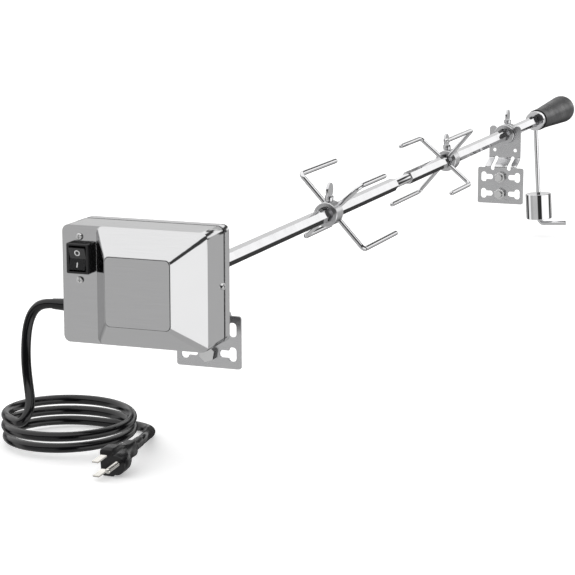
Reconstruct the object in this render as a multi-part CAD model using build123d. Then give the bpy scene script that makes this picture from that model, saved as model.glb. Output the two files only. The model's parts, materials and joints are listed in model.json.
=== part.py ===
"""Electric rotisserie spit set for a grill: motor unit, hexagonal spit, forks, brackets, counterweight.

The design frame has the spit's axis as X = 0, Z = 0 and the back of the motor housing at Y = 0. The spit
runs along +Y and +Z is up. Each piece is moved by ORIGIN_SHIFT as it is written, so that the part's
origin is the centre of the slot pattern on the rear face of the motor bracket.
"""
from build123d import *
import math
import os

os.makedirs("parts", exist_ok=True)

# ---- motor housing ----
HOUSING_LEFT, HOUSING_RIGHT = -106.2, 28.6
HOUSING_BOTTOM, HOUSING_TOP = -59.8, 43.0
FRONT_Y = -49.4            # flat front of the switch strip and foot of the raised bulge
SHELL_REAR_Y = -13.9       # rear edge of the front shell
PAN_FRONT_Y = -10.5        # front edge of the back pan's rim
CORNER = 6.0
WALL = 1.2
BULGE_LEFT = -74.0         # the bulge starts right of the switch strip
PLATE_Y = -79.65           # flat top of the bulge
PLATE_SIZE = 60.7
PLATE_X, PLATE_Z = -22.5, -6.8
PLATE_CORNER = 4.5
BADGE_STEP, BADGE_H = 0.8, 0.5     # the plain badge plate: its margin and how far it stands proud
SIDE_SCREW_Y, SIDE_SCREW_Z = -16.6, -8.4
LIP_INSET = WALL + 0.1     # the back pan's lip goes inside the front shell
HOUSING_X = (HOUSING_LEFT + HOUSING_RIGHT) / 2
HOUSING_Z = (HOUSING_BOTTOM + HOUSING_TOP) / 2
HOUSING_W = HOUSING_RIGHT - HOUSING_LEFT
HOUSING_H = HOUSING_TOP - HOUSING_BOTTOM
SCREW_HOLE_R = 1.6         # for the small screws of the shell
MOUNT_HOLE_X, MOUNT_HOLE_Z = 13.8, -21.1   # the screws that join housing and bracket
MOUNT_SCREW_HOLE_R = 2.1

# ---- rocker switch ----
SWITCH_X, SWITCH_Z = -88.3, 15.1
SWITCH_W, SWITCH_H = 21.4, 26.4
SWITCH_PROUD = 8.0
SWITCH_BODY_W, SWITCH_BODY_H, SWITCH_BODY_REAR = 19.0, 24.0, -30.0
ROCKER_W, ROCKER_H = 15.0, 21.2
ROCKER_PIVOT = 5.0         # depth of the rocker's pin behind the bezel's front
SWITCH_SCREW_Z = (32.9, -4.7)
SWITCH_SCREW_X = -89.7

# ---- gear train: synchronous motor at 300 rpm, 100 : 1 down to 3 rpm ----
PINION_TEETH, WHEEL_TEETH, OUTPUT_TEETH = 12, 60, 48
MODULE_1, MODULE_2, MODULE_3 = 0.5, 0.6, 0.8
BACKLASH = 0.16
MOTOR_X, MOTOR_Z = PLATE_X, PLATE_Z
WHEEL_1 = (-30.35, 9.39)
WHEEL_2 = (-12.0, 20.8)
LAYER_1 = (-46.0, -41.0)
LAYER_2 = (-39.5, -33.5)
LAYER_3 = (-32.0, -24.0)
GEAR_PLATE_FRONT = (-49.0, -47.5)
GEAR_PLATE_REAR = (-22.5, -21.0)
PLATE_BOX = (-55.5, 24.0, -33.0, 39.0)
PILLARS = [(-48.5, 34.0), (18.5, 34.0), (-48.5, -28.0), (18.5, -28.0)]
POSTS = [(-MOUNT_HOLE_X, MOUNT_HOLE_Z), (MOUNT_HOLE_X, MOUNT_HOLE_Z), (-42.0, 26.0), (14.0, 26.0)]
ARBOR_R = 1.5
PRESSURE_ANGLE = math.radians(20)
WHEEL_ADDENDUM, PINION_ADDENDUM = 0.7, 0.9
MOTOR_EAR = 28.4           # the motor's two screws, each side of its shaft
SHAFT_R = 1.5
CAN_R, CAN_Y = 25.0, (-75.0, -51.0)
ROTOR_R = 8.5

# ---- spit ----
HEX_AF = 12.7              # half-inch hexagon bar
HEX_TURN = -2.4            # turn of the hexagon about the spit's axis at rest
SOCKET_AF = 13.1
SLEEVE_R = 9.5
BUSH_R, BUSH_FLANGE_R = 11.0, 13.0
JOURNAL_R = 4.0            # front end of the sleeve, and the joint inside the two bars
ROD_START_Y = -28.0
NECK = (549.9, 603.3)      # turned neck where the two bars screw together
NECK_R = 5.2
ROD_END_Y = 1206.9
STUD_R = 5.0
STUD_END_Y = 1262.0

# ---- forks ----
FORK_A_FACE, FORK_B_FACE = 346.5, 758.0
FORK_A_TURN, FORK_B_TURN = -2.2, 5.0
HUB_R, HUB_LENGTH, HUB_BORE = 12.5, 20.0, 8.2
PRONG_R = 2.5
PRONG_SINK = 1.0
WIDE_REACH, NARROW_REACH = 50.3, 40.5
WIDE_TINE, NARROW_TINE = 106.6, 79.0
PRONG_BEND = 5.0

# ---- thumb screws ----
SCREW_R = 3.0
FIT = 0.05                 # radial clearance of a running fit
SCREW_TIP = 7.2
BLADE_FOOT, BLADE_TOP, BLADE_W, BLADE_T = 15.6, 31.4, 16.0, 2.6

# ---- brackets ----
SHEET = 2.0
PLATE_W, PLATE_BOTTOM, PLATE_TOP = 61.0, -89.5, -42.0
NECK_W = 42.0
HORN_TOP = 10.9
SADDLE_R = 11.5
BEND_UPPER_Z, BEND_LOWER_Z, BEND_R = -32.5, -40.0, 3.2
SLOT_ROWS = (-54.5, -76.5)
SLOT_BAR_X, SLOT_BAR = 22.6, (7.4, 13.0)
SLOT_STEM_X, SLOT_STEM = 16.4, (12.4, 6.8)
BEND_SLOT_X, BEND_SLOT_Z, BEND_SLOT = 10.9, -37.4, (16.4, 5.0)
FAR_HOLE_R = 2.4
MOTOR_BRACKET_UPPER_Y, MOTOR_BRACKET_LOWER_Y = 1.0, 21.0
SPIT_BRACKET_UPPER_Y, SPIT_BRACKET_LOWER_Y = 1039.4, 1019.4
BOLT_R, BOLT_AF, BOLT_HEAD = 4.0, 13.0, 5.3
NUT_H, BOLT_LENGTH = 6.0, 12.0
ORIGIN_SHIFT = (0.0, -(MOTOR_BRACKET_LOWER_Y + SHEET / 2), -sum(SLOT_ROWS) / 2)

# ---- bushing in the saddle ----
BUSHING_FLANGE = (1031.5, 1036.0)
BUSHING_REAR = (1042.0, 1055.0)
BUSHING_R, GROOVE_R = 13.2, 11.2
BUSHING_SCREW_Y = 1049.6

# ---- counterweight and handle ----
COLLAR = (1199.0, 1212.0)
COLLAR_R = 13.2
COLLAR_WEB = 5.0           # wall at the collar's rear, which the handle clamps
ARM_Y, ARM_R, ARM_LEAN = 1204.6, 3.0, 3.6
ARM_DROP, FOOT_LENGTH, FOOT_BEND = 144.4, 37.4, 7.0
WEIGHT_R, WEIGHT_H, WEIGHT_TOP = 17.75, 35.2, 102.2
FERRULE = (1212.4, 1230.0)
FERRULE_R = 14.4
GRIP_END_Y, GRIP_SMALL_R, GRIP_BIG_R = 1366.0, 14.0, 19.3
INSERT_R = 8.0             # threaded metal insert inside the grip

# ---- cord ----
CORD_D = 8.6
EXIT = (-106.2, -29.5, -32.0)
RELIEF_LENGTH = 20.0
RELIEF_BACK = 7.0          # its length inside the wall
RELIEF_R, RELIEF_FLANGE, RELIEF_FLANGE_R, RELIEF_ROOT_R = 6.0, 1.6, 8.0, 5.8
FLOOR_Z = -163.0
COIL_X, COIL_Y, COIL_R, COIL_TOP = -123.5, -6.9, 57.3, -130.2
LEAD_ROUTE = [
    (-126.2, -29.5, -32.0), (-136.2, -29.5, -32.0), (-145.8, -30.2, -39.0), (-150.6, -32.0, -52.0),
    (-151.4, -35.0, -70.0), (-149.6, -38.6, -88.0), (-145.3, -43.2, -104.0), (-140.2, -49.5, -117.0),
    (-139.4, -56.8, -126.8), (-144.6, -60.6, -134.2),
]
TAIL_ROUTE = [
    (-108.0, 50.6, -158.6), (-90.5, 52.6, -158.6), (-75.0, 47.6, -158.6), (-63.6, 36.0, -157.6),
    (-54.5, 12.5, -153.2), (-46.0, -12.5, -147.6), (-39.06, -34.26, -144.11), (-39.48, -42.22, -144.95),
]
PLUG_TURN = -3.0           # turn of the plug about the vertical, from facing -Y
PLUG_PITCH = 6.0           # its face is lower than its neck
PLUG_FACE = (-42.3, -95.95, -150.6)
PLUG_BLOCK, PLUG_WAIST, PLUG_LENGTH = 15.0, 40.0, 54.1   # ends of the three parts, from the face
PLUG_HALF = 12.0           # half the block's height
PLUG_BARREL_R, PLUG_BARREL_X, PLUG_BARREL_Z = 9.0, 4.5, -1.5   # the round side, which holds the pin
PLUG_BLADE_X, PLUG_BLADE_W, PLUG_BLADE_T, PLUG_BLADE_LENGTH = -5.5, 6.3, 1.5, 16.0
BLADE_SPACING = 12.7       # between the blades, which lie flat side to flat side
PIN_X, PIN_LENGTH = 6.4, 18.0


def box(x0, x1, y0, y1, z0, z1):
    """A block between two corners."""
    return Pos((x0 + x1) / 2, (y0 + y1) / 2, (z0 + z1) / 2) * Box(x1 - x0, y1 - y0, z1 - z0)


def rod_y(radius, y0, y1, x=0.0, z=0.0):
    """A round bar along Y."""
    return Pos(x, (y0 + y1) / 2, z) * Rot(90, 0, 0) * Cylinder(radius, y1 - y0)


def rod_x(radius, x0, x1, y=0.0, z=0.0):
    """A round bar along X."""
    return Pos((x0 + x1) / 2, y, z) * Rot(0, 90, 0) * Cylinder(radius, x1 - x0)


def slab(outline, y0, y1, x=0.0, z=0.0):
    """A flat outline, drawn in X and Z, made thick from y0 to y1."""
    return Pos(x, y1, z) * extrude(Plane.XZ * outline, amount=y1 - y0)


def hex_y(across_flats, y0, y1, x=0.0, z=0.0, turn=0.0):
    """A hexagonal bar along Y; at turn 0 two corners lie on X."""
    return slab(Rot(0, 0, turn) * RegularPolygon(across_flats / math.sqrt(3), 6), y0, y1, x, z)


def about_spit(shape, degrees):
    """Turns a shape about the spit's axis, from +X towards +Z."""
    return Rot(0, -degrees, 0) * shape


def tube(points, radius, corner_radii):
    """A round bar along straight runs joined by arcs."""
    path = FilletPolyline(*points, radius=corner_radii)
    return sweep(Plane(origin=path @ 0, z_dir=path % 0) * Circle(radius), path=path)


def save(name, *shapes):
    """Writes one node, with each shape as a solid of its own."""
    solids = [solid for shape in shapes for solid in shape.solids()]
    moved = [Pos(*ORIGIN_SHIFT) * solid for solid in solids]
    node = moved[0] if len(moved) == 1 else Compound(children=moved)
    node.label = name
    export_step(node, f"parts/{name}.step")


# ---------------------------------------------------------------- housing
def bulge(inset):
    """The pyramid on the front shell, shrunk by the wall for its inside."""
    base_w = HOUSING_RIGHT - BULGE_LEFT - 2 * inset
    base = RectangleRounded(base_w, HOUSING_H - 2 * inset, CORNER - inset / 2)
    top = RectangleRounded(PLATE_SIZE - 2 * inset, PLATE_SIZE - 2 * inset, PLATE_CORNER - inset / 2)
    base_x = (BULGE_LEFT + HOUSING_RIGHT) / 2
    foot = Pos(base_x, FRONT_Y + inset, HOUSING_Z) * (Plane.XZ * base)
    head = Pos(PLATE_X, PLATE_Y + inset, PLATE_Z) * (Plane.XZ * top)
    return loft([foot, head], ruled=True)


def housing_slab(inset, y0, y1):
    outline = RectangleRounded(HOUSING_W - 2 * inset, HOUSING_H - 2 * inset, CORNER - inset)
    return slab(outline, y0, y1, HOUSING_X, HOUSING_Z)


def front_shell():
    outer = housing_slab(0, FRONT_Y, SHELL_REAR_Y) + bulge(0)
    inner = housing_slab(WALL, FRONT_Y + WALL, SHELL_REAR_Y + 1) + bulge(WALL)
    shell = outer - inner
    badge_size = PLATE_SIZE - 2 * BADGE_STEP
    badge = RectangleRounded(badge_size, badge_size, PLATE_CORNER)
    shell += slab(badge, PLATE_Y - BADGE_H, PLATE_Y, PLATE_X, PLATE_Z)
    window_w, window_h = SWITCH_BODY_W / 2 + 0.2, SWITCH_BODY_H / 2 + 0.2
    shell -= box(SWITCH_X - window_w, SWITCH_X + window_w, FRONT_Y - 1, FRONT_Y + WALL + 1,
                 SWITCH_Z - window_h, SWITCH_Z + window_h)
    for z in SWITCH_SCREW_Z:
        shell -= rod_y(SCREW_HOLE_R, FRONT_Y - 1, FRONT_Y + 3, SWITCH_SCREW_X, z)
    shell -= rod_x(RELIEF_R, EXIT[0] - 1, EXIT[0] + WALL + 1, EXIT[1], EXIT[2])
    for x in (HOUSING_LEFT, HOUSING_RIGHT):
        shell -= rod_x(SCREW_HOLE_R, x - 2, x + 2, SIDE_SCREW_Y, SIDE_SCREW_Z)
    return shell


def back_pan():
    rim = housing_slab(0, PAN_FRONT_Y, 0) - housing_slab(WALL, PAN_FRONT_Y - 1, -WALL)
    rim = fillet(rim.faces().sort_by(Axis.Y)[-1].outer_wire().edges(), 1.0)
    lip = housing_slab(LIP_INSET, -20.0, PAN_FRONT_Y) - housing_slab(LIP_INSET + WALL, -21.0, 0)
    ledge = housing_slab(0.3, PAN_FRONT_Y - 0.6, PAN_FRONT_Y + 0.6)
    ledge -= housing_slab(LIP_INSET + WALL, PAN_FRONT_Y - 1, PAN_FRONT_Y + 1)
    pan = rim + lip + ledge
    pan -= rod_y(BUSH_R, -5, 5)
    for x, z in POSTS:
        pan -= rod_y(MOUNT_SCREW_HOLE_R, -5, 5, x, z)
    for x in (HOUSING_LEFT, HOUSING_RIGHT):
        pan -= rod_x(SCREW_HOLE_R, x - 5, x + 5, SIDE_SCREW_Y, SIDE_SCREW_Z)
    return pan


def pan_head_screw(head_r, head_h, shank_r, shank_l):
    """A pan head screw along Y: the head stands on -Y, the shank runs to +Y from 0."""
    head = fillet(rod_y(head_r, -head_h, 0).edges().sort_by(Axis.Y)[0], head_h * 0.55)
    slot_long, slot_wide = head_r * 1.1, head_r * 0.22
    arm = box(-slot_long / 2, slot_long / 2, -head_h - 1, -head_h * 0.55, -slot_wide / 2, slot_wide / 2)
    cross = arm + Rot(0, 90, 0) * arm
    return head - cross + rod_y(shank_r, 0, shank_l)


def side_screws():
    screw = pan_head_screw(3.2, 1.8, 1.5, 5.0)
    right = Pos(HOUSING_RIGHT, SIDE_SCREW_Y, SIDE_SCREW_Z) * Rot(0, 0, 90) * screw
    left = Pos(HOUSING_LEFT, SIDE_SCREW_Y, SIDE_SCREW_Z) * Rot(0, 0, -90) * screw
    return right, left


def switch_screws():
    screw = pan_head_screw(3.1, 1.8, 1.5, 4.8)
    return [Pos(SWITCH_SCREW_X, FRONT_Y, z) * screw for z in SWITCH_SCREW_Z]


def switch_bezel():
    """Frame that stands proud of the strip, its body behind the panel and two fixing ears."""
    front = FRONT_Y - SWITCH_PROUD
    frame = slab(RectangleRounded(SWITCH_W, SWITCH_H, 1.2), front, FRONT_Y, SWITCH_X, SWITCH_Z)
    frame = chamfer(frame.faces().sort_by(Axis.Y)[0].edges(), 0.8)
    left, right = SWITCH_X - SWITCH_BODY_W / 2, SWITCH_X + SWITCH_BODY_W / 2
    half_h = SWITCH_BODY_H / 2
    body = box(left, right, FRONT_Y, SWITCH_BODY_REAR, SWITCH_Z - half_h, SWITCH_Z + half_h)
    ears = box(left, right, FRONT_Y + WALL, FRONT_Y + WALL + 2.5,
               SWITCH_SCREW_Z[1] - 5, SWITCH_SCREW_Z[0] + 5)
    bezel = frame + body + ears
    bezel -= box(SWITCH_X - ROCKER_W / 2 - 0.4, SWITCH_X + ROCKER_W / 2 + 0.4, front - 1, front + 13,
                 SWITCH_Z - ROCKER_H / 2 - 0.6, SWITCH_Z + ROCKER_H / 2 + 0.6)
    for z in SWITCH_SCREW_Z:
        bezel -= rod_y(1.5, FRONT_Y, FRONT_Y + 9, SWITCH_SCREW_X, z)
    return bezel - rod_x(1.5, SWITCH_X - 9, SWITCH_X + 9, front + ROCKER_PIVOT, SWITCH_Z)


def switch_rocker():
    """Rocker with a dished face, on a pin along X."""
    front = FRONT_Y - SWITCH_PROUD
    half_w, half_h = ROCKER_W / 2, ROCKER_H / 2
    profile = Polyline((front - 1.6, half_h - 1.2), (front + 1.2, 0), (front - 1.6, -half_h + 1.2),
                       (front + 4.6, -half_h), (front + 6.4, -3.5), (front + 6.4, 3.5),
                       (front + 4.6, half_h), close=True)
    rocker = Pos(SWITCH_X + half_w, 0, SWITCH_Z) * extrude(Plane.YZ * make_face(profile), amount=-ROCKER_W)
    return rocker + rod_x(1.45, SWITCH_X - 8.9, SWITCH_X + 8.9, front + ROCKER_PIVOT, SWITCH_Z)


def switch_terminals():
    """Two blade terminals at the back of the switch."""
    return [box(SWITCH_X - 3, SWITCH_X + 3, SWITCH_BODY_REAR, -23.0, SWITCH_Z + z - 0.4, SWITCH_Z + z + 0.4)
            for z in (-7.0, 7.0)]


def strain_relief():
    """Bush in the wall with a thin flange outside, a nut inside and a smooth tapered sleeve on the cord."""
    x0, y, z = EXIT
    inside = rod_x(RELIEF_R, x0, x0 + RELIEF_BACK, y, z)
    flange = rod_x(RELIEF_FLANGE_R, x0 - RELIEF_FLANGE, x0, y, z)
    nut = Pos(x0 + WALL + 2.0, y, z) * Rot(0, 90, 0) * extrude(RegularPolygon(9.0, 6), amount=1.6, both=True)
    taper_length = RELIEF_LENGTH - RELIEF_FLANGE
    taper = Cone(RELIEF_ROOT_R, CORD_D / 2 + 0.4, taper_length)
    sleeve = Pos(x0 - RELIEF_FLANGE - taper_length / 2, y, z) * Rot(0, -90, 0) * taper
    return inside + flange + nut + sleeve


# ---------------------------------------------------------------- motor and gears
def involute(angle):
    return math.tan(angle) - angle


def gear_outline(teeth, module, addendum, phase):
    """A spur gear with involute teeth; one tooth is centred at the phase angle, in radians."""
    pitch_r = module * teeth / 2
    base_r = pitch_r * math.cos(PRESSURE_ANGLE)
    tip_r = pitch_r + addendum * module
    root_r = pitch_r - 1.15 * module
    half_at_pitch = math.pi / (2 * teeth) - BACKLASH / (2 * pitch_r)

    def half_angle(radius):
        return half_at_pitch + involute(PRESSURE_ANGLE) - involute(math.acos(base_r / radius))

    flank_start = max(base_r, root_r)
    flank = [flank_start + (tip_r - flank_start) * step / 3 for step in range(4)]
    points = []
    for tooth in range(teeth):
        centre = phase + 2 * math.pi * tooth / teeth
        rising = [(root_r, centre - half_angle(flank_start) - 0.02 / teeth)]
        rising += [(r, centre - half_angle(r)) for r in flank]
        falling = [(r, centre + half_angle(r)) for r in reversed(flank)]
        falling += [(root_r, centre + half_angle(flank_start) + 0.02 / teeth)]
        points += [(r * math.cos(a), r * math.sin(a)) for r, a in rising + falling]
    return make_face(Polyline(*points, close=True))


def meshing_phase(phase_a, teeth_a, teeth_b, angle):
    """Phase of gear B that meshes with gear A, when B lies from A at the angle."""
    return angle + math.pi - teeth_a / teeth_b * (phase_a - angle) - math.pi / teeth_b


def direction(a, b):
    return math.atan2(b[1] - a[1], b[0] - a[0])


OUTPUT_CENTRE = (0.0, 0.0)
MOTOR_CENTRE = (MOTOR_X, MOTOR_Z)
OUTPUT_PHASE = 0.0
PINION_2_PHASE = meshing_phase(OUTPUT_PHASE, OUTPUT_TEETH, PINION_TEETH, direction(OUTPUT_CENTRE, WHEEL_2))
WHEEL_2_PHASE = 0.0
PINION_1_PHASE = meshing_phase(WHEEL_2_PHASE, WHEEL_TEETH, PINION_TEETH, direction(WHEEL_2, WHEEL_1))
WHEEL_1_PHASE = 0.0
ROTOR_PINION_PHASE = meshing_phase(WHEEL_1_PHASE, WHEEL_TEETH, PINION_TEETH, direction(WHEEL_1, MOTOR_CENTRE))


def gear(teeth, module, addendum, phase, layer, centre):
    return slab(gear_outline(teeth, module, addendum, phase), layer[0], layer[1], centre[0], centre[1])


def compound_wheel(centre, wheel_module, wheel_layer, wheel_phase, pinion_module, pinion_layer, pinion_phase):
    """A wheel with a pinion behind it, in one piece, bored to run on a fixed arbor."""
    wheel = gear(WHEEL_TEETH, wheel_module, WHEEL_ADDENDUM, wheel_phase, wheel_layer, centre)
    pinion = gear(PINION_TEETH, pinion_module, PINION_ADDENDUM, pinion_phase, pinion_layer, centre)
    hub_r = pinion_module * (PINION_TEETH / 2 - 1.15)
    hub = rod_y(hub_r, wheel_layer[1], pinion_layer[0], *centre)
    blank = wheel + hub + pinion
    return blank - rod_y(ARBOR_R + FIT, wheel_layer[0] - 1, pinion_layer[1] + 1, *centre)


def gear_plate(y_range, holes):
    x0, x1, z0, z1 = PLATE_BOX
    plate = slab(RectangleRounded(x1 - x0, z1 - z0, 5), *y_range, (x0 + x1) / 2, (z0 + z1) / 2)
    for x, z, radius in holes:
        plate -= rod_y(radius, y_range[0] - 1, y_range[1] + 1, x, z)
    return plate


def make_gearbox():
    pillar_holes = [(x, z, 1.5) for x, z in PILLARS]
    arbor_holes = [(*WHEEL_1, ARBOR_R), (*WHEEL_2, ARBOR_R)]
    front_holes = pillar_holes + arbor_holes + [(MOTOR_X, MOTOR_Z, 4.0), (0, 0, JOURNAL_R + FIT)]
    front_holes += [(MOTOR_X + side * MOTOR_EAR, MOTOR_Z, 1.5) for side in (-1, 1)]
    rear_holes = pillar_holes + arbor_holes + [(0, 0, SLEEVE_R + 0.08)]
    rear_holes += [(x, z, 1.5) for x, z in POSTS]
    save("gear_plate_front", gear_plate(GEAR_PLATE_FRONT, front_holes))
    save("gear_plate_rear", gear_plate(GEAR_PLATE_REAR, rear_holes))
    front, rear = GEAR_PLATE_FRONT[0], GEAR_PLATE_REAR[1]
    pillars = [rod_y(3.0, GEAR_PLATE_FRONT[1], GEAR_PLATE_REAR[0], x, z)
               + rod_y(1.5, front - 1.2, rear + 1.2, x, z) for x, z in PILLARS]
    save("gearbox_pillars", *pillars)
    save("gear_arbors", *[rod_y(ARBOR_R, front, rear, *centre) for centre in (WHEEL_1, WHEEL_2)])
    posts = []
    for x, z in POSTS:
        post = hex_y(8.0, rear, -WALL, x, z) - rod_y(2.0, -14.0, 0, x, z)
        posts.append(post + rod_y(1.5, GEAR_PLATE_REAR[0], rear, x, z))
    save("gearbox_posts", *posts)
    save("first_reduction_gear", compound_wheel(WHEEL_1, MODULE_1, LAYER_1, WHEEL_1_PHASE,
                                                MODULE_2, LAYER_2, PINION_1_PHASE))
    save("second_reduction_gear", compound_wheel(WHEEL_2, MODULE_2, LAYER_2, WHEEL_2_PHASE,
                                                 MODULE_3, LAYER_3, PINION_2_PHASE))
    output = gear(OUTPUT_TEETH, MODULE_3, WHEEL_ADDENDUM, OUTPUT_PHASE, LAYER_3, OUTPUT_CENTRE)
    save("output_gear", output - rod_y(SLEEVE_R, LAYER_3[0] - 1, LAYER_3[1] + 1))


def make_motor():
    y0, y1 = CAN_Y
    can = rod_y(CAN_R, y0, y1, MOTOR_X, MOTOR_Z) - rod_y(CAN_R - 1.0, y0 + 1.0, y1 + 1, MOTOR_X, MOTOR_Z)
    can -= rod_y(SHAFT_R + FIT, y0 - 1, y0 + 2, MOTOR_X, MOTOR_Z)
    save("stator_can", can)
    ears = slab(SlotOverall(2 * MOTOR_EAR + 8, 8), y1, GEAR_PLATE_FRONT[0], MOTOR_X, MOTOR_Z)
    cap = rod_y(CAN_R, y1, GEAR_PLATE_FRONT[0], MOTOR_X, MOTOR_Z) + ears
    cap -= rod_y(SHAFT_R + FIT, y1 - 1, GEAR_PLATE_FRONT[0] + 1, MOTOR_X, MOTOR_Z)
    for side in (-1, 1):
        cap -= rod_y(1.5, y1 - 1, y1 + 3, MOTOR_X + side * MOTOR_EAR, MOTOR_Z)
    save("stator_cap", cap)
    screw = pan_head_screw(2.7, 1.8, 1.45, 3.2)
    save("motor_screws", *[Pos(MOTOR_X + side * MOTOR_EAR, y1, MOTOR_Z) * screw for side in (-1, 1)])
    coil = rod_y(CAN_R - 1.2, y0 + 3.5, y1 - 2.5, MOTOR_X, MOTOR_Z)
    coil -= rod_y(ROTOR_R + 3.0, y0 + 3, y1, MOTOR_X, MOTOR_Z)
    save("stator_winding", coil)
    save("rotor_magnet", rod_y(ROTOR_R, y0 + 5.0, y1 - 4.0, MOTOR_X, MOTOR_Z)
         - rod_y(SHAFT_R, y0 + 4.0, y1 - 3.0, MOTOR_X, MOTOR_Z))
    pinion = gear(PINION_TEETH, MODULE_1, PINION_ADDENDUM, ROTOR_PINION_PHASE, LAYER_1, MOTOR_CENTRE)
    save("rotor_shaft", pinion + rod_y(SHAFT_R, y0, LAYER_1[1], MOTOR_X, MOTOR_Z))


def make_wires():
    """Lead from the cord to the switch, from the switch to the winding, and from the cord to the winding."""
    x, y, z = EXIT[0] + RELIEF_BACK, EXIT[1], EXIT[2]
    low, high = SWITCH_Z - 7.0, SWITCH_Z + 7.0
    winding_x, winding_z = MOTOR_X - CAN_R, MOTOR_Z
    routes = [
        [(x, y, z + 2.6), (x + 8, y, z + 2.6), (x + 10, -19.0, low - 12), (SWITCH_X, -19.0, low),
         (SWITCH_X, -23.0, low)],
        [(SWITCH_X, -23.0, high), (SWITCH_X, -18.0, high), (-66.0, -20.0, high), (-60.0, -40.0, 6.0),
         (-56.0, -58.0, winding_z + 4), (winding_x, -60.0, winding_z + 4)],
        [(x, y, z - 2.6), (x + 12, y, z - 2.6), (-64.0, -36.0, z), (-56.0, -58.0, winding_z - 4),
         (winding_x, -60.0, winding_z - 4)],
    ]
    save("lead_wires", *[tube(route, 1.1, 2.0) for route in routes])


# ---------------------------------------------------------------- spit
def make_spit():
    sleeve = rod_y(SLEEVE_R, LAYER_3[0] - 0.5, 4.0)
    sleeve += rod_y(JOURNAL_R, GEAR_PLATE_FRONT[0] + 0.2, LAYER_3[0])
    sleeve -= hex_y(SOCKET_AF, ROD_START_Y - 1, 5.0, turn=HEX_TURN)
    save("drive_sleeve", sleeve)
    bush = rod_y(BUSH_R, -WALL, 3.0) + rod_y(BUSH_FLANGE_R, -WALL - 3.0, -WALL)
    save("drive_bush", bush - rod_y(SLEEVE_R + FIT, -6, 4))
    drive_half = hex_y(HEX_AF, ROD_START_Y, NECK[0], turn=HEX_TURN)
    save("spit_rod_drive_half", drive_half - rod_y(JOURNAL_R, NECK[0] - 22, NECK[0] + 1))
    outer_half = hex_y(HEX_AF, NECK[1], ROD_END_Y, turn=HEX_TURN) + rod_y(NECK_R, *NECK)
    outer_half += rod_y(JOURNAL_R, NECK[0] - 20, NECK[0]) + rod_y(STUD_R, ROD_END_Y, STUD_END_Y)
    save("spit_rod_outer_half", outer_half)


# ---------------------------------------------------------------- forks
def prong(angle, reach, tine, arm_y, heading):
    """An arm from the hub, bent into a tine along the spit, with a rounded point."""
    cos_a, sin_a = math.cos(math.radians(angle)), math.sin(math.radians(angle))
    points = [(9.0 * cos_a, arm_y, 9.0 * sin_a), (reach * cos_a, arm_y, reach * sin_a),
              (reach * cos_a, arm_y + heading * tine, reach * sin_a)]
    return tube(points, PRONG_R, PRONG_BEND) + Pos(*points[-1]) * Sphere(PRONG_R)


def fork(name, face_y, heading, turn, wide_angle):
    """A hub with two wide and two narrow prongs that point along the heading, and its thumb screw."""
    arm_y = face_y + heading * (PRONG_R - PRONG_SINK)
    prongs = []
    for side in (0, 180):
        prongs.append(prong(turn + wide_angle + side, WIDE_REACH, WIDE_TINE, arm_y, heading))
        prongs.append(prong(turn + wide_angle + 90 + side, NARROW_REACH, NARROW_TINE, arm_y, heading))
    back_y = face_y - heading * HUB_LENGTH
    screw_y = (face_y + back_y) / 2
    y0, y1 = min(face_y, back_y), max(face_y, back_y)
    hub = rod_y(HUB_R, y0, y1)
    hub = chamfer(hub.edges().filter_by(GeomType.CIRCLE), 0.6)
    hub -= rod_y(HUB_BORE, y0 - 1, y1 + 1)
    hub -= about_spit(Pos(0, screw_y, HUB_R) * Cylinder(SCREW_R + FIT, 14), turn)
    for piece in prongs:
        hub -= piece
    save(f"{name}_hub", hub)
    save(f"{name}_prongs", *prongs)
    save(f"{name}_thumb_screw", about_spit(Pos(0, screw_y, 0) * thumb_screw(HUB_R), turn))


def thumb_screw(seat_r):
    """A thumb screw along Z, with its blade in the plane of the spit."""
    shank = Pos(0, 0, (SCREW_TIP + BLADE_FOOT) / 2) * Cylinder(SCREW_R, BLADE_FOOT - SCREW_TIP)
    collar_z = seat_r + 0.35
    collar = Pos(0, 0, (collar_z + BLADE_FOOT + 2.5) / 2) * Cylinder(4.4, BLADE_FOOT + 2.5 - collar_z)
    height = BLADE_TOP - BLADE_FOOT
    outline = Plane.YZ * Ellipse(BLADE_W / 2, height / 2)
    blade = Pos(0, 0, (BLADE_TOP + BLADE_FOOT) / 2) * extrude(outline, amount=BLADE_T / 2, both=True)
    return shank + collar + blade


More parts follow.
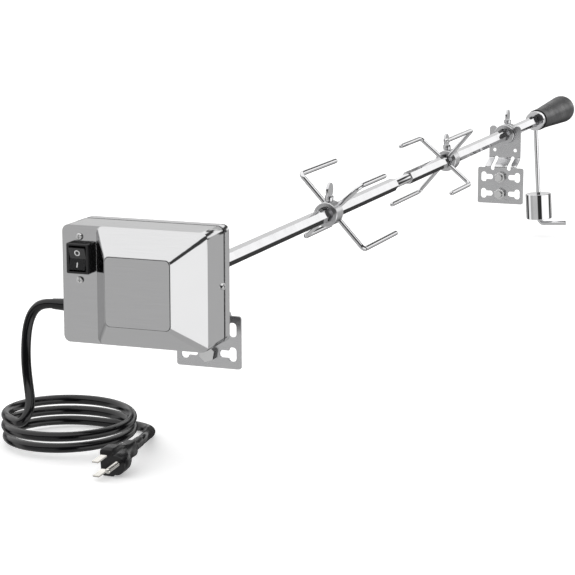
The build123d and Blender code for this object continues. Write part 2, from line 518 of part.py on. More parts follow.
# ---------------------------------------------------------------- brackets and bushing
def bracket(upper_y, lower_y, hole_r):
    """One bent sheet: a horned saddle plate, a sloping shelf and a plate with four T-shaped slots."""
    path = FilletPolyline((0, upper_y, HORN_TOP), (0, upper_y, BEND_UPPER_Z), (0, lower_y, BEND_LOWER_Z),
                          (0, lower_y, PLATE_BOTTOM), radius=BEND_R)
    section = Plane(origin=path @ 0, x_dir=(1, 0, 0), z_dir=path % 0) * Rectangle(NECK_W, SHEET)
    sheet = sweep(section, path=path)
    sheet += box(-PLATE_W / 2, PLATE_W / 2, lower_y - SHEET / 2, lower_y + SHEET / 2, PLATE_BOTTOM, PLATE_TOP)
    corners = sheet.edges().filter_by(Axis.Y).filter_by_position(Axis.Z, PLATE_BOTTOM - 0.1, PLATE_TOP + 0.1)
    corners = [edge for edge in corners if abs(abs(edge.center().X) - PLATE_W / 2) < 0.1]
    sheet = fillet(corners, 2.5)
    y0, y1 = upper_y - SHEET, upper_y + SHEET
    sheet -= box(-SADDLE_R, SADDLE_R, y0, y1, 0, HORN_TOP + 1) + rod_y(SADDLE_R, y0, y1)
    tops = sheet.edges().filter_by(Axis.Y).filter_by_position(Axis.Z, HORN_TOP - 0.1, HORN_TOP + 0.1)
    sheet = fillet(tops, 4.4)
    for side in (-1, 1):
        sheet -= rod_y(hole_r, y0, y1, side * MOUNT_HOLE_X, MOUNT_HOLE_Z)
        bend_slot = slab(SlotOverall(*BEND_SLOT, rotation=90), -14, 14, side * BEND_SLOT_X, BEND_SLOT_Z)
        sheet -= Pos(0, (upper_y + lower_y) / 2, 0) * bend_slot
        for z in SLOT_ROWS:
            sheet -= slab(t_slot(side), lower_y - 3, lower_y + 3, 0, z)
    for z in SLOT_ROWS:
        sheet -= rod_y(BOLT_R + 0.25, lower_y - 3, lower_y + 3, 0, z)
    return sheet


def t_slot(side):
    """A T-shaped slot: the cross bar is outermost, the stem points to the middle of the plate."""
    bar = Pos(side * SLOT_BAR_X, 0) * RectangleRounded(*SLOT_BAR, 3.4)
    stem = Pos(side * SLOT_STEM_X, 0) * RectangleRounded(*SLOT_STEM, 3.2)
    return bar + stem


def bracket_bolts(lower_y, heading):
    """Two hexagon bolts through the lower plate, with their threads pointing along the heading."""
    seat = lower_y - heading * SHEET / 2
    bolts = []
    for z in SLOT_ROWS:
        y0, y1 = sorted((seat - heading * BOLT_HEAD, seat))
        head = hex_y(BOLT_AF, y0, y1, 0, z, turn=20)
        y0, y1 = sorted((seat, seat + heading * BOLT_LENGTH))
        bolts.append(head + rod_y(BOLT_R, y0, y1, 0, z))
    return bolts


def bracket_nuts(lower_y, heading):
    """A nut on each bolt, against the plate."""
    seat = lower_y + heading * SHEET / 2
    y0, y1 = sorted((seat, seat + heading * NUT_H))
    return [hex_y(BOLT_AF, y0, y1, 0, z, turn=35) - rod_y(BOLT_R, y0 - 1, y1 + 1, 0, z) for z in SLOT_ROWS]


def make_brackets():
    for name, upper_y, lower_y, hole_r, heading in (
        ("motor", MOTOR_BRACKET_UPPER_Y, MOTOR_BRACKET_LOWER_Y, MOUNT_SCREW_HOLE_R, 1),
        ("spit", SPIT_BRACKET_UPPER_Y, SPIT_BRACKET_LOWER_Y, FAR_HOLE_R, -1),
    ):
        save(f"{name}_bracket", bracket(upper_y, lower_y, hole_r))
        save(f"{name}_bracket_bolts", *bracket_bolts(lower_y, heading))
        save(f"{name}_bracket_nuts", *bracket_nuts(lower_y, heading))
    rear_screw = Rot(0, 0, 180) * pan_head_screw(3.8, 2.6, 1.95, 12.0)
    bracket_rear = MOTOR_BRACKET_UPPER_Y + SHEET / 2
    save("motor_mount_screws", *[Pos(x, bracket_rear, z) * rear_screw for x, z in POSTS[:2]])
    save("back_pan_screws", *[Pos(x, 0, z) * rear_screw for x, z in POSTS[2:]])


def make_bushing():
    bushing = rod_y(BUSHING_R, *BUSHING_FLANGE) + rod_y(BUSHING_R, *BUSHING_REAR)
    bushing = chamfer(bushing.edges().filter_by(GeomType.CIRCLE), 0.6)
    bushing += rod_y(GROOVE_R, BUSHING_FLANGE[1], BUSHING_REAR[0])
    bushing -= rod_y(HUB_BORE, BUSHING_FLANGE[0] - 1, BUSHING_REAR[1] + 1)
    bushing -= Pos(0, BUSHING_SCREW_Y, BUSHING_R) * Cylinder(SCREW_R + FIT, 14)
    save("spit_bushing", bushing)
    save("bushing_thumb_screw", Pos(0, BUSHING_SCREW_Y, 0) * thumb_screw(BUSHING_R))


# ---------------------------------------------------------------- counterweight and handle
def make_counterweight():
    lean = math.radians(ARM_LEAN)
    along = (math.sin(lean), -math.cos(lean))
    side = (math.cos(lean), math.sin(lean))
    arm_end = (along[0] * ARM_DROP, ARM_Y, along[1] * ARM_DROP)
    foot_end = (arm_end[0] + side[0] * FOOT_LENGTH, ARM_Y, arm_end[2] + side[1] * FOOT_LENGTH)
    arm_start = (along[0] * 9.2, ARM_Y, along[1] * 9.2)
    arm = tube([arm_start, arm_end, foot_end], ARM_R, FOOT_BEND)
    collar = fillet(rod_y(COLLAR_R, *COLLAR).edges().filter_by(GeomType.CIRCLE), 1.0)
    collar -= rod_y(HUB_BORE, COLLAR[0] - 1, COLLAR[1] - COLLAR_WEB)
    collar -= rod_y(STUD_R + 0.4, COLLAR[0], COLLAR[1] + 1) + arm
    save("counterweight_collar", collar)
    save("counterweight_arm", arm)
    weight = Cylinder(WEIGHT_R, WEIGHT_H)
    weight = fillet(weight.edges().filter_by(GeomType.CIRCLE), 0.8) - Cylinder(ARM_R + FIT, WEIGHT_H + 2)
    centre = WEIGHT_TOP + WEIGHT_H / 2
    place = Pos(along[0] * centre, ARM_Y, along[1] * centre) * Rot(0, -ARM_LEAN, 0)
    save("counterweight", place * weight)


def make_handle():
    ferrule = rod_y(FERRULE_R, *FERRULE)
    ferrule = fillet(ferrule.edges().filter_by(GeomType.CIRCLE), 0.8)
    save("handle_ferrule", ferrule - rod_y(STUD_R + 0.6, FERRULE[0] - 1, FERRULE[1] + 1))
    insert_y = (FERRULE[1], STUD_END_Y + 2.0)
    save("handle_insert", rod_y(INSERT_R, *insert_y) - rod_y(STUD_R + FIT, insert_y[0] - 1, insert_y[1] + 1))
    y0, y1 = FERRULE[1], GRIP_END_Y
    profile = Polyline((0, y0), (GRIP_SMALL_R, y0), (GRIP_BIG_R, y1 - 5), (GRIP_BIG_R - 4, y1), (0, y1),
                       close=True)
    grip = revolve(make_face(profile), Axis.Y)
    rim = grip.edges().filter_by(GeomType.CIRCLE).sort_by(Axis.Y)[-2:]
    grip = fillet(rim, 2.6) - rod_y(INSERT_R, y0 - 1, insert_y[1])
    save("handle_grip", grip)


# ---------------------------------------------------------------- cord
def corner_radii(route):
    """For each corner, 0.45 of its shorter run over the tangent of half the turn."""
    radii = []
    for before, here, after in zip(route, route[1:], route[2:]):
        arriving = Vector(*here) - Vector(*before)
        leaving = Vector(*after) - Vector(*here)
        half_turn = math.radians(arriving.get_angle(leaving)) / 2
        radii.append(0.45 * min(arriving.length, leaving.length) / math.tan(half_turn))
    return radii


def make_cord():
    for name, route in (("cord_lead", LEAD_ROUTE), ("cord_tail", TAIL_ROUTE)):
        radii = corner_radii(route)
        print(name, "radii", [round(radius, 1) for radius in radii])
        save(name, tube(route, CORD_D / 2, radii))
    ring = Cylinder(COIL_R + CORD_D / 2, COIL_TOP - FLOOR_Z) - Cylinder(COIL_R - CORD_D / 2, 99)
    save("cord_coil", Pos(COIL_X, COIL_Y, (COIL_TOP + FLOOR_Z) / 2) * ring)


def in_plug(shape):
    """Places a shape drawn with the plug's face at the origin and its body along +Y."""
    return Pos(*PLUG_FACE) * Rot(0, 0, PLUG_TURN) * Rot(PLUG_PITCH, 0, 0) * shape


def make_plug():
    """A grounded plug on its side: two flat blades, one above the other, and a round pin beside them."""
    block = box(-9.5, 3.0, 0, PLUG_BLOCK, -PLUG_HALF, PLUG_HALF)
    block += rod_y(PLUG_BARREL_R, 0, PLUG_BLOCK, PLUG_BARREL_X, PLUG_BARREL_Z)
    waist = loft([Pos(1, PLUG_BLOCK, 0) * (Plane.XZ * RectangleRounded(20, 20, 6)),
                  Pos(0, PLUG_WAIST, 0) * (Plane.XZ * RectangleRounded(12, 14, 5))], ruled=True)
    neck_length = PLUG_LENGTH - PLUG_WAIST
    cone = Cone(6.4, CORD_D / 2 + 0.5, neck_length)
    neck = Pos(0, PLUG_WAIST + neck_length / 2, 0) * Rot(-90, 0, 0) * cone
    save("plug_body", in_plug(block + waist + neck))
    left, right = PLUG_BLADE_X - PLUG_BLADE_W / 2, PLUG_BLADE_X + PLUG_BLADE_W / 2
    blades = [box(left, right, -PLUG_BLADE_LENGTH, 0, z - PLUG_BLADE_T / 2, z + PLUG_BLADE_T / 2)
              for z in (-BLADE_SPACING / 2, BLADE_SPACING / 2)]
    save("plug_blades", *[in_plug(blade) for blade in blades])
    pin = fillet(rod_y(2.4, -PIN_LENGTH, 0, PIN_X, 0).edges().sort_by(Axis.Y)[0], 2.0)
    save("plug_ground_pin", in_plug(pin))


save("front_shell", front_shell())
save("back_pan", back_pan())
save("side_screws", *side_screws())
save("switch_screws", *switch_screws())
save("switch_bezel", switch_bezel())
save("switch_rocker", switch_rocker())
save("switch_terminals", *switch_terminals())
save("strain_relief", strain_relief())
make_gearbox()
make_motor()
make_wires()
make_spit()
fork("fork_a", FORK_A_FACE, 1, FORK_A_TURN, -45)
fork("fork_b", FORK_B_FACE, -1, FORK_B_TURN, 45)
make_brackets()
make_bushing()
make_counterweight()
make_handle()
make_cord()
make_plug()
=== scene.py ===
"""Rotisserie spit set on a white studio floor: looks for the CAD frame, with the mains cord as one line.

Lengths are metres. Design positions are written in millimetres from the spit's axis and the back of the
motor housing, as the CAD has them, and at() turns them into the shared frame.
"""
import json
import math

import bpy
from mathutils import Matrix, Vector


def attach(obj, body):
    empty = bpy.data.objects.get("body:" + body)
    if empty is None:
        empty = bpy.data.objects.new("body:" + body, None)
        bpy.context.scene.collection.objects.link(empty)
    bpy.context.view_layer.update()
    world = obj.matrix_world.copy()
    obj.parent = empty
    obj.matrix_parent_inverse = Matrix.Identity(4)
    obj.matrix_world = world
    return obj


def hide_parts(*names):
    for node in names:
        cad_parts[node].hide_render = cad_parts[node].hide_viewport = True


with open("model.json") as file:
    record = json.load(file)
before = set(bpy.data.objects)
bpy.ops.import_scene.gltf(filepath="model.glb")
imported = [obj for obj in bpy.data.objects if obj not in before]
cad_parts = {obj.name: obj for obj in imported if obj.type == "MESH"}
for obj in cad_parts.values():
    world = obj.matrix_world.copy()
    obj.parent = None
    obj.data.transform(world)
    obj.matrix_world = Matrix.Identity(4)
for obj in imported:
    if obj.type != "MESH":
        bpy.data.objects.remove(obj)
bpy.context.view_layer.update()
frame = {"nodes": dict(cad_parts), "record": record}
NODES = frame["nodes"]

MM = 0.001
SHIFT = Vector((0.0, -22.0, 65.5))      # from the design position to the frame's origin, in mm
FLOOR_Z = -163.0                        # what the coil and the plug lie on


def at(x, y, z):
    """A design position in mm, as a point of the frame in metres."""
    return (Vector((x, y, z)) + SHIFT) * MM


# ---------------------------------------------------------------- camera
CAMERA_AT = (0.69304, -1.65685, 0.4015)
CAMERA_LOOKS = (-0.3437, 0.9188, -0.1937)
LENS = 130.79


def make_camera():
    data = bpy.data.cameras.new("camera")
    data.lens = LENS
    data.sensor_width = 36.0
    data.clip_end = 100.0
    camera = bpy.data.objects.new("camera", data)
    camera.location = CAMERA_AT
    camera.rotation_euler = Vector(CAMERA_LOOKS).to_track_quat("-Z", "Y").to_euler()
    bpy.context.collection.objects.link(camera)
    bpy.context.scene.camera = camera


make_camera()

# ---------------------------------------------------------------- cord
CORD_D = 8.6
COIL_CENTRE = (-123.5, -6.9)
COIL_R = 57.3
COIL_PITCH = 9.69          # rise of the coil in one turn
COIL_START, COIL_TURN, COIL_STEP = 235.0, 864.0, 18.0    # degrees, clockwise seen from above
FLOOR_TURN = 900.0         # the turn, in degrees, at which the coil would be on the floor
COIL_INSET = 1.0           # keeps its widest turn inside the CAD's coil
LEAD = [
    (-126.2, -29.5, -32.0), (-136.2, -29.5, -32.0), (-145.8, -30.2, -39.0), (-150.6, -32.0, -52.0),
    (-151.4, -35.0, -70.0), (-149.6, -38.6, -88.0), (-145.3, -43.2, -104.0), (-140.2, -49.5, -117.0),
    (-139.4, -56.8, -126.8), (-144.6, -60.6, -134.2),
]
TAIL = [
    (-108.0, 50.6, -158.6), (-90.5, 52.6, -158.6), (-75.0, 47.6, -158.6), (-63.6, 36.0, -157.6),
    (-54.5, 12.5, -153.2), (-46.0, -12.5, -147.6), (-39.06, -34.26, -144.11), (-39.48, -42.22, -144.95),
]


def coil_points():
    """Turns that go down from the top to the floor, each a little off the one above."""
    control_r = COIL_R / math.cos(math.radians(COIL_STEP / 2))
    points = []
    for step in range(int(COIL_TURN / COIL_STEP) + 1):
        turned = step * COIL_STEP
        angle = math.radians(COIL_START - turned)
        wobble = 0.6 * math.sin(turned * 0.021) + 0.4 * math.cos(turned * 0.047)
        radius = control_r - COIL_INSET + wobble
        z = FLOOR_Z + CORD_D / 2 + COIL_PITCH * (FLOOR_TURN - turned) / 360
        x, y = COIL_CENTRE[0] + radius * math.cos(angle), COIL_CENTRE[1] + radius * math.sin(angle)
        points.append((x, y, z))
    return points


def make_cord():
    route = [at(*point) for point in LEAD + coil_points() + TAIL]
    data = bpy.data.curves.new("mains_cord", "CURVE")
    data.dimensions = "3D"
    data.resolution_u = 8
    data.bevel_depth = 1.0
    data.bevel_resolution = 6
    data.use_fill_caps = True
    spline = data.splines.new("NURBS")
    spline.points.add(len(route) - 1)
    for point, place in zip(spline.points, route):
        point.co = (*place, 1.0)
        # The thickness is in the radius, with a bevel depth of 1, so that the curve's box is its true size.
        point.radius = CORD_D / 2 * MM
    spline.order_u = 3
    spline.use_endpoint_u = True
    cord = bpy.data.objects.new("mains_cord", data)
    bpy.context.collection.objects.link(cord)
    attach(cord, "root")
    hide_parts("cord_lead", "cord_coil", "cord_tail")
    cord.visible_glossy = False        # it lies where the underside of the housing would mirror it
    return cord


cord = make_cord()


# ---------------------------------------------------------------- materials
class Surface:
    """A material built from nodes: base colour, roughness and height, each varied by its own noise."""

    def __init__(self, name, colour, roughness, metallic=0.0, coat=0.0, ior=1.5):
        self.material = bpy.data.materials.new(name)
        self.material.use_nodes = True
        self.tree = self.material.node_tree
        self.shader = self.tree.nodes["Principled BSDF"]
        self.shader.inputs["Metallic"].default_value = metallic
        self.shader.inputs["Coat Weight"].default_value = coat
        self.shader.inputs["Coat Roughness"].default_value = 0.08
        self.shader.inputs["IOR"].default_value = ior
        self.shader.inputs["Base Color"].default_value = (*colour, 1.0)
        self.shader.inputs["Roughness"].default_value = roughness
        self.colour, self.roughness = colour, roughness
        self.where = self.tree.nodes.new("ShaderNodeTexCoord")
        self.height = None

    def link(self, output, socket):
        self.tree.links.new(output, socket)

    def noise(self, scale, detail=4.0, rough=0.55):
        """Noise with its own scale along each axis, in cycles per metre."""
        mapping = self.tree.nodes.new("ShaderNodeMapping")
        mapping.inputs["Scale"].default_value = scale
        texture = self.tree.nodes.new("ShaderNodeTexNoise")
        texture.inputs["Scale"].default_value = 1.0
        texture.inputs["Detail"].default_value = detail
        texture.inputs["Roughness"].default_value = rough
        self.link(self.where.outputs["Object"], mapping.inputs["Vector"])
        self.link(mapping.outputs["Vector"], texture.inputs["Vector"])
        return texture.outputs["Fac"]

    def spread(self, value, low, high, out_low, out_high):
        """Maps a value's middle range to another range."""
        node = self.tree.nodes.new("ShaderNodeMapRange")
        numbers = {"From Min": low, "From Max": high, "To Min": out_low, "To Max": out_high}
        for socket, number in numbers.items():
            node.inputs[socket].default_value = number
        self.link(value, node.inputs["Value"])
        return node.outputs["Result"]

    def tint(self, value, darker):
        """Varies the base colour down to a share of itself."""
        mix = self.tree.nodes.new("ShaderNodeMix")
        mix.data_type = "RGBA"
        mix.inputs["A"].default_value = (*self.colour, 1.0)
        mix.inputs["B"].default_value = (*[channel * darker for channel in self.colour], 1.0)
        self.link(self.spread(value, 0.35, 0.65, 0.0, 1.0), mix.inputs["Factor"])
        self.link(mix.outputs["Result"], self.shader.inputs["Base Color"])

    def gloss(self, value, swing):
        low, high = max(self.roughness - swing, 0.02), self.roughness + swing
        self.link(self.spread(value, 0.3, 0.7, low, high), self.shader.inputs["Roughness"])

    def bump(self, value, depth, strength=1.0):
        """Adds a height in metres to the normal, after any that is there already."""
        node = self.tree.nodes.new("ShaderNodeBump")
        node.inputs["Strength"].default_value = strength
        node.inputs["Distance"].default_value = depth
        self.link(value, node.inputs["Height"])
        if self.height:
            self.link(self.height, node.inputs["Normal"])
        self.height = node.outputs["Normal"]
        self.link(self.height, self.shader.inputs["Normal"])


def brushed(name, colour, roughness, grain, depth=0.000006, swing=0.03):
    """Metal with a grain: noise stretched along the way it was brushed, over a faint mottle."""
    surface = Surface(name, colour, roughness, metallic=1.0)
    streaks = surface.noise(grain, detail=3.0)
    mottle = surface.noise((30.0, 30.0, 30.0), detail=2.0)
    surface.tint(streaks, 0.95)
    surface.gloss(mottle, swing)
    surface.bump(streaks, depth, 0.6)
    return surface.material


def polished(name, colour, roughness, along=(700.0, 30.0, 700.0)):
    """Plated or polished metal: faint draw marks and a few dull patches."""
    surface = Surface(name, colour, roughness, metallic=1.0)
    marks = surface.noise(along, detail=2.0)
    patches = surface.noise((60.0, 60.0, 60.0), detail=4.0)
    surface.tint(patches, 0.94)
    surface.gloss(patches, roughness * 0.5)
    surface.bump(marks, 0.000004, 0.4)
    return surface.material


def moulded(name, colour, roughness, pebble=1400.0, depth=0.00001, coat=0.0):
    """Moulded plastic or rubber: a fine pebble and uneven gloss."""
    surface = Surface(name, colour, roughness, coat=coat)
    grain = surface.noise((pebble, pebble, pebble), detail=2.0)
    haze = surface.noise((55.0, 55.0, 55.0), detail=3.0)
    surface.tint(haze, 0.75)
    surface.gloss(haze, roughness * 0.25)
    surface.bump(grain, depth, 0.5)
    return surface.material


SHEET_GRAIN = (30.0, 2200.0, 3200.0)     # brushed along X
DISC_GRAIN = (900.0, 500.0, 900.0)
MOTTLE = (500.0, 500.0, 500.0)
WOUND = (200.0, 3000.0, 200.0)           # turns of wire, side by side along Y
MATERIALS = {
    "stainless_housing": brushed("stainless_housing", (0.68, 0.68, 0.685), 0.12, SHEET_GRAIN),
    "polished_rod": polished("polished_rod", (0.80, 0.80, 0.81), 0.06),
    "satin_hub": brushed("satin_hub", (0.74, 0.74, 0.75), 0.27, DISC_GRAIN),
    "thumb_screw_steel": polished("thumb_screw_steel", (0.68, 0.68, 0.69), 0.16),
    "mirror_chrome": polished("mirror_chrome", (0.86, 0.86, 0.87), 0.04),
    "bracket_sheet": brushed("bracket_sheet", (0.76, 0.76, 0.77), 0.26, MOTTLE, depth=0.00002),
    "zinc_fastener": polished("zinc_fastener", (0.86, 0.86, 0.86), 0.08),
    "switch_black": moulded("switch_black", (0.007, 0.007, 0.008), 0.16, coat=0.2),
    "rocker_grey": moulded("rocker_grey", (0.014, 0.014, 0.015), 0.16, coat=1.0),
    "cord_black": moulded("cord_black", (0.004, 0.004, 0.005), 0.15, pebble=900.0, depth=0.000004),
    "plug_black": moulded("plug_black", (0.008, 0.008, 0.009), 0.30, pebble=1100.0),
    "plug_nickel": polished("plug_nickel", (0.80, 0.78, 0.73), 0.12),
    "ferrule_black": moulded("ferrule_black", (0.004, 0.004, 0.004), 0.30),
    "grip_grey": moulded("grip_grey", (0.022, 0.022, 0.024), 0.33, pebble=1000.0, depth=0.00002),
    "insert_steel": brushed("insert_steel", (0.56, 0.56, 0.56), 0.3, DISC_GRAIN),
    "gear_steel": brushed("gear_steel", (0.50, 0.50, 0.51), 0.32, DISC_GRAIN),
    "galvanised_plate": brushed("galvanised_plate", (0.58, 0.59, 0.60), 0.36, (120.0, 120.0, 120.0)),
    "copper_winding": brushed("copper_winding", (0.60, 0.27, 0.14), 0.30, WOUND, depth=0.0001),
    "ferrite_magnet": moulded("ferrite_magnet", (0.045, 0.045, 0.047), 0.55),
    "bronze_bush": brushed("bronze_bush", (0.62, 0.42, 0.20), 0.36, DISC_GRAIN),
    "terminal_brass": polished("terminal_brass", (0.75, 0.58, 0.28), 0.22),
    "wire_insulation": moulded("wire_insulation", (0.03, 0.03, 0.03), 0.4),
    # near-black paint for strips that stand in for the shade in gaps: painted shade
    "painted_shade_black": moulded("painted_shade_black", (0.010, 0.010, 0.011), 0.7),
    "symbol_white": moulded("symbol_white", (0.80, 0.80, 0.80), 0.4),
}
NODE_SLOT = {entry["node"]: entry["material_slot"] for entry in frame["record"]["subparts"]}
OWN_MATERIAL = {"switch_rocker": "rocker_grey"}
EDGE_WIDTH = {                # rounded edge of each node, in mm, where the CAD's edges are sharp
    "spit_rod_drive_half": 0.5, "spit_rod_outer_half": 0.5, "motor_bracket": 0.3, "spit_bracket": 0.3,
    "motor_bracket_bolts": 0.9, "motor_bracket_nuts": 0.9,
    "spit_bracket_bolts": 0.9, "spit_bracket_nuts": 0.9,
    "fork_a_thumb_screw": 0.5, "fork_b_thumb_screw": 0.5, "bushing_thumb_screw": 0.5,
    "switch_bezel": 0.4, "switch_rocker": 0.5, "plug_blades": 0.35, "back_pan": 0.25, "front_shell": 0.9,
}


def dress(node, piece):
    """Gives a CAD node its material and, where its edges are sharp, a rounded edge."""
    piece.data.materials.clear()
    piece.data.materials.append(MATERIALS[OWN_MATERIAL.get(node, NODE_SLOT[node])])
    if node in EDGE_WIDTH:
        weld = piece.modifiers.new("weld", "WELD")
        weld.merge_threshold = 0.000002
        bevel = piece.modifiers.new("edge", "BEVEL")
        bevel.width = EDGE_WIDTH[node] * MM
        bevel.segments = 2
        bevel.limit_method = "ANGLE"
        bevel.angle_limit = math.radians(35)
        bevel.harden_normals = True


for node, piece in NODES.items():
    dress(node, piece)
cord.data.materials.append(MATERIALS["cord_black"])


# ---------------------------------------------------------------- mesh helpers
def mesh_piece(name, vertices, faces, material, body, smooth=True):
    """A new mesh that rides on a body, under one of the record's material slots."""
    data = bpy.data.meshes.new(name)
    data.from_pydata([tuple(vertex) for vertex in vertices], [], faces)
    data.update()
    for polygon in data.polygons:
        polygon.use_smooth = smooth
    data.materials.append(MATERIALS[material])
    piece = bpy.data.objects.new(name, data)
    bpy.context.collection.objects.link(piece)
    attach(piece, body)
    return piece


def loft(rings, closed_ends=True):
    """Vertices and faces of a skin over rings of points, all with the same count."""
    count = len(rings[0])
    vertices = [point for ring in rings for point in ring]
    faces = []
    for row in range(len(rings) - 1):
        for i in range(count):
            j = (i + 1) % count
            a, b = row * count, (row + 1) * count
            faces.append((a + i, a + j, b + j, b + i))
    if closed_ends:
        faces.append(tuple(reversed(range(count))))
        faces.append(tuple((len(rings) - 1) * count + i for i in range(count)))
    return vertices, faces


# ---------------------------------------------------------------- plug
PLUG_FACE = (-42.3, -95.95, -150.6)
PLUG_TURN, PLUG_PITCH = -3.0, 6.0
PLUG_RING = 72
# along the plug: distance behind the face; the flat side's reach to the left and right, half height and
# squareness; the round side's radius, and its middle across and up
PLUG_SECTIONS = [
    (0.0, 9.0, 2.5, 11.5, 10.0, 8.5, 4.5, -1.5), (0.5, 9.5, 3.0, 12.0, 10.0, 9.0, 4.5, -1.5),
    (8.0, 9.5, 3.0, 12.0, 10.0, 9.0, 4.5, -1.5), (13.0, 9.4, 3.0, 11.8, 9.0, 8.8, 4.4, -1.5),
    (16.0, 8.8, 3.2, 11.0, 7.0, 8.2, 3.9, -1.3), (20.0, 7.8, 3.6, 9.6, 6.0, 7.4, 2.8, -0.9),
    (26.0, 6.4, 4.6, 7.8, 5.0, 6.6, 1.2, -0.4), (32.0, 5.9, 5.6, 7.0, 4.0, 5.8, 0.0, 0.0),
    (38.0, 6.0, 6.0, 7.1, 4.0, 6.0, 0.0, 0.0), (39.5, 5.7, 5.7, 6.6, 4.0, 5.7, 0.0, 0.0),
    (40.5, 5.2, 5.2, 5.2, 2.0, 5.0, 0.0, 0.0), (46.0, 4.9, 4.9, 4.9, 2.0, 4.8, 0.0, 0.0),
    (54.1, 4.7, 4.7, 4.7, 2.0, 4.6, 0.0, 0.0),
]


def plug_ring(distance, left, right, half_height, squareness, barrel_r, barrel_x, barrel_z):
    """The outline of both sides together, as rays from the middle."""
    ring = []
    turn = Matrix.Rotation(math.radians(PLUG_TURN), 3, "Z")
    turn = turn @ Matrix.Rotation(math.radians(PLUG_PITCH), 3, "X")
    for i in range(PLUG_RING):
        angle = 2 * math.pi * i / PLUG_RING
        c, s = math.cos(angle), math.sin(angle)
        reach = right if c > 0 else left
        flat = ((abs(c) / reach) ** squareness + (abs(s) / half_height) ** squareness) ** (-1 / squareness)
        nearest = barrel_x * c + barrel_z * s
        beside = barrel_x * s - barrel_z * c
        barrel = nearest + math.sqrt(max(barrel_r ** 2 - beside ** 2, 0.0))
        radius = max(flat, barrel)
        ring.append(at(*(Vector(PLUG_FACE) + turn @ Vector((radius * c, distance, radius * s)))))
    return ring


def make_plug():
    vertices, faces = loft([plug_ring(*section) for section in PLUG_SECTIONS])
    plug = mesh_piece("plug_moulding", vertices, faces, "plug_black", "root")
    plug.data.polygons[-2].use_smooth = False
    bevel = plug.modifiers.new("edge", "BEVEL")
    bevel.width = 0.4 * MM
    bevel.segments = 2
    bevel.angle_limit = math.radians(50)
    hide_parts("plug_body")
    plug.visible_glossy = False
    return plug


plug = make_plug()

# ---------------------------------------------------------------- painted shade lines on the housing
HOUSING_MIDDLE, HOUSING_SIZE, HOUSING_CORNER = (-38.8, -8.4), (134.8, 102.8), 6.0
SHADE_LINE_Y = (-13.8, -11.2)    # the gap between the front shell and the back pan, where a dark strip paints its shade
SHADE_LINE_INSET = 0.7           # the painted shade strip lies this deep in the gap
PLATE_MIDDLE, PLATE_SIZE, PLATE_CORNER, PLATE_Y = (-22.5, -6.8), 60.7, 4.5, -79.65
PLATE_STEP = 0.8           # the badge plate is this much smaller than the bulge's flat top
PLATE_SHADE_WIDTH = 0.4           # width of the painted shade line round it
PLATE_LIFT = 0.02
CORNER_STEPS = 8


def rounded_outline(middle, width, height, corner, y):
    """Points round a rectangle with round corners, in a plane across the spit."""
    points = []
    for quarter, (side_x, side_z) in enumerate(((1, 1), (-1, 1), (-1, -1), (1, -1))):
        for step in range(CORNER_STEPS + 1):
            angle = math.radians(90 * quarter + 90 * step / CORNER_STEPS)
            x = middle[0] + side_x * (width / 2 - corner) + corner * math.cos(angle)
            z = middle[1] + side_z * (height / 2 - corner) + corner * math.sin(angle)
            points.append(at(x, y, z))
    return points


def make_painted_shade_lines():
    """Dark strips that paint shade: in the gap between shell and pan, and at the foot of the badge plate's
    step.
    """
    width, height = (size - 2 * SHADE_LINE_INSET for size in HOUSING_SIZE)
    rings = [rounded_outline(HOUSING_MIDDLE, width, height, HOUSING_CORNER - SHADE_LINE_INSET, y) for y in SHADE_LINE_Y]
    vertices, faces = loft(rings, closed_ends=False)
    # a dark strip in the gap between shell and pan: painted shade where there is only shadow
    mesh_piece("shell_gap_painted_shade", vertices, faces, "painted_shade_black", "root")
    rings = []
    for inset in (PLATE_STEP - PLATE_SHADE_WIDTH, PLATE_STEP):
        size = PLATE_SIZE - 2 * inset
        corner = PLATE_CORNER - inset / 2
        rings.append(rounded_outline(PLATE_MIDDLE, size, size, corner, PLATE_Y - PLATE_LIFT))
    vertices, faces = loft(rings, closed_ends=False)
    # a dark line round the badge plate at the foot of its step: painted shade
    mesh_piece("plate_step_painted_shade", vertices, faces, "painted_shade_black", "root", smooth=False)


make_painted_shade_lines()

# ---------------------------------------------------------------- switch symbols
SWITCH_X, SWITCH_Z = -88.3, 15.1
ROCKER_FRONT = -57.4       # the bezel's front face
ROCKER_EDGE = (ROCKER_FRONT - 1.6, 9.4)      # where the dished face meets the rocker's end
ROCKER_MIDDLE = (ROCKER_FRONT + 1.2, 0.0)
PAINT = 0.08               # the paint stands this far off the face
RING_RADII, RING_UP, RING_STEPS = (1.7, 2.6), 5.0, 40
BAR_CORNERS = ((-0.6, -7.4), (0.6, -7.4), (0.6, -3.2), (-0.6, -3.2))


def on_rocker(across, up):
    """A point on the rocker's dished face, from its middle."""
    share = abs(up) / ROCKER_EDGE[1]
    y = ROCKER_MIDDLE[0] + (ROCKER_EDGE[0] - ROCKER_MIDDLE[0]) * share
    return at(SWITCH_X + across, y - PAINT, SWITCH_Z + up)


def make_symbols():
    """The off ring above and the on bar below."""
    turns = [2 * math.pi * i / RING_STEPS for i in range(RING_STEPS)]
    rings = []
    for radius in RING_RADII:
        rings.append([on_rocker(radius * math.cos(a), RING_UP + radius * math.sin(a)) for a in turns])
    vertices, faces = loft(rings, closed_ends=False)
    mesh_piece("symbol_off", vertices, faces, "symbol_white", "rocker", smooth=False)
    corners = [on_rocker(x, z) for x, z in BAR_CORNERS]
    mesh_piece("symbol_on", corners, [(0, 1, 2, 3)], "symbol_white", "rocker", smooth=False)


make_symbols()


# ---------------------------------------------------------------- studio
def stage_plane(name, centre, across, up, material):
    """A flat rectangle about its centre, spanned by two half sides."""
    centre, across, up = Vector(centre), Vector(across), Vector(up)
    corners = [centre - across - up, centre + across - up, centre + across + up, centre - across + up]
    data = bpy.data.meshes.new(name)
    data.from_pydata([tuple(corner) for corner in corners], [], [(0, 1, 2, 3)])
    data.materials.append(material)
    piece = bpy.data.objects.new(name, data)
    bpy.context.collection.objects.link(piece)
    return piece


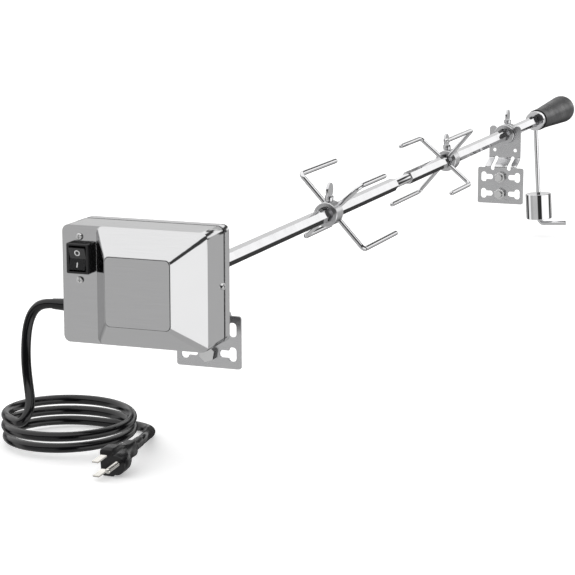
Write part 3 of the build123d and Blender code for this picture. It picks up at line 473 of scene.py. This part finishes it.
def paper(name, shade, glow):
    """Matt paper that gives a little light of its own."""
    surface = Surface(name, (shade, shade, shade), 0.9)
    surface.shader.inputs["Emission Color"].default_value = (1.0, 1.0, 1.0, 1.0)
    surface.shader.inputs["Emission Strength"].default_value = glow
    surface.shader.inputs["Specular IOR Level"].default_value = 0.1
    surface.bump(surface.noise((300.0, 300.0, 300.0)), 0.00002, 0.3)
    return surface.material


# Brightness round the set, by azimuth in degrees: 0 is the front (-Y), 90 the right (+X), 180 the back.
LOW_ROOM = [(-180, 0.05), (-147, 0.05), (-140, 0.34), (-118, 0.38), (-108, 0.03), (-92, 0.03), (-84, 1.0),
            (-66, 1.0), (-60, 0.42), (-40, 0.50), (-33, 0.56), (2, 0.56), (7, 0.03), (38, 0.03), (44, 1.25),
            (112, 1.25), (120, 0.05), (140, 0.05), (148, 0.54), (168, 0.54), (173, 0.05)]
HIGH_ROOM = [(-180, 0.78), (-150, 0.70), (-125, 0.10), (-100, 0.90), (-75, 0.90), (-62, 0.06), (136, 0.05),
             (146, 1.15), (174, 1.15)]
DARK_RING = 0.06           # between the panels and the ceiling
CEILING, GROUND = 1.18, 0.52
# Heights at which one gives way to the next, as the sine of the elevation.
GROUND_ENDS, HIGH_STARTS = (-0.62, -0.50), (0.0, 0.08)
DARK_STARTS, CEILING_STARTS = (0.27, 0.31), (0.46, 0.54)
CEILING_LEAN = 0.3
FLOOR_MIDDLE_Y, FLOOR_HALF = 8.0, 50.0


class Room:
    """The studio as a world shader: rings of bright and dark panels, a white ceiling, a grey ground."""

    def __init__(self):
        self.world = bpy.data.worlds.new("studio")
        self.world.use_nodes = True
        self.tree = self.world.node_tree
        where = self.tree.nodes.new("ShaderNodeTexCoord")
        split = self.tree.nodes.new("ShaderNodeSeparateXYZ")
        self.tree.links.new(where.outputs["Generated"], split.inputs["Vector"])
        self.height, self.right = split.outputs["Z"], split.outputs["X"]
        back = self.math("MULTIPLY", split.outputs["Y"], -1.0)
        turn = self.math("ARCTAN2", split.outputs["X"], back)
        turn = self.math("DIVIDE", turn, 2 * math.pi)
        self.azimuth = self.math("ADD", turn, 0.5)

    def math(self, operation, first, second):
        node = self.tree.nodes.new("ShaderNodeMath")
        node.operation = operation
        for socket, value in zip(node.inputs, (first, second)):
            if isinstance(value, float):
                socket.default_value = value
            else:
                self.tree.links.new(value, socket)
        return node.outputs["Value"]

    def ring(self, stops):
        """Brightness by azimuth."""
        node = self.tree.nodes.new("ShaderNodeValToRGB")
        elements = node.color_ramp.elements
        for element, (degrees, shade) in zip(elements, (stops[0], stops[-1])):
            element.position = (degrees + 180) / 360
            element.color = (shade, shade, shade, 1.0)
        for degrees, shade in stops[1:-1]:
            elements.new((degrees + 180) / 360).color = (shade, shade, shade, 1.0)
        self.tree.links.new(self.azimuth, node.inputs["Fac"])
        return node.outputs["Color"]

    def above(self, lower, upper, start, end, lean=0.0):
        """Changes from one brightness to another between two heights, from -1 to 1.

        With a lean, the change is higher up towards the right.
        """
        share = self.tree.nodes.new("ShaderNodeMapRange")
        share.interpolation_type = "SMOOTHSTEP"
        share.inputs["From Min"].default_value = start
        share.inputs["From Max"].default_value = end
        height = self.math("SUBTRACT", self.height, self.math("MULTIPLY", self.right, lean))
        self.tree.links.new(height, share.inputs["Value"])
        mix = self.tree.nodes.new("ShaderNodeMix")
        mix.data_type = "RGBA"
        self.tree.links.new(share.outputs["Result"], mix.inputs["Factor"])
        for socket, value in (("A", lower), ("B", upper)):
            if isinstance(value, float):
                mix.inputs[socket].default_value = (value, value, value, 1.0)
            else:
                self.tree.links.new(value, mix.inputs[socket])
        return mix.outputs["Result"]


def make_room():
    room = Room()
    shade = room.above(GROUND, room.ring(LOW_ROOM), *GROUND_ENDS)
    shade = room.above(shade, room.ring(HIGH_ROOM), *HIGH_STARTS)
    shade = room.above(shade, DARK_RING, *DARK_STARTS)
    shade = room.above(shade, CEILING, *CEILING_STARTS, lean=CEILING_LEAN)
    room.tree.links.new(shade, room.tree.nodes["Background"].inputs["Color"])
    bpy.context.scene.world = room.world


def make_studio():
    """A white floor that lights the set but isn't mirrored in it: the metal mirrors the room."""
    ground = FLOOR_Z * MM + SHIFT.z * MM
    white = paper("floor_paper", 0.93, 0.40)
    floor = stage_plane("floor", (0, FLOOR_MIDDLE_Y, ground), (FLOOR_HALF, 0, 0), (0, FLOOR_HALF, 0), white)
    floor.visible_glossy = False
    make_room()
    scene = bpy.context.scene
    scene.view_settings.view_transform = "Standard"
    scene.cycles.use_denoising = True


make_studio()

bpy.context.view_layer.update()
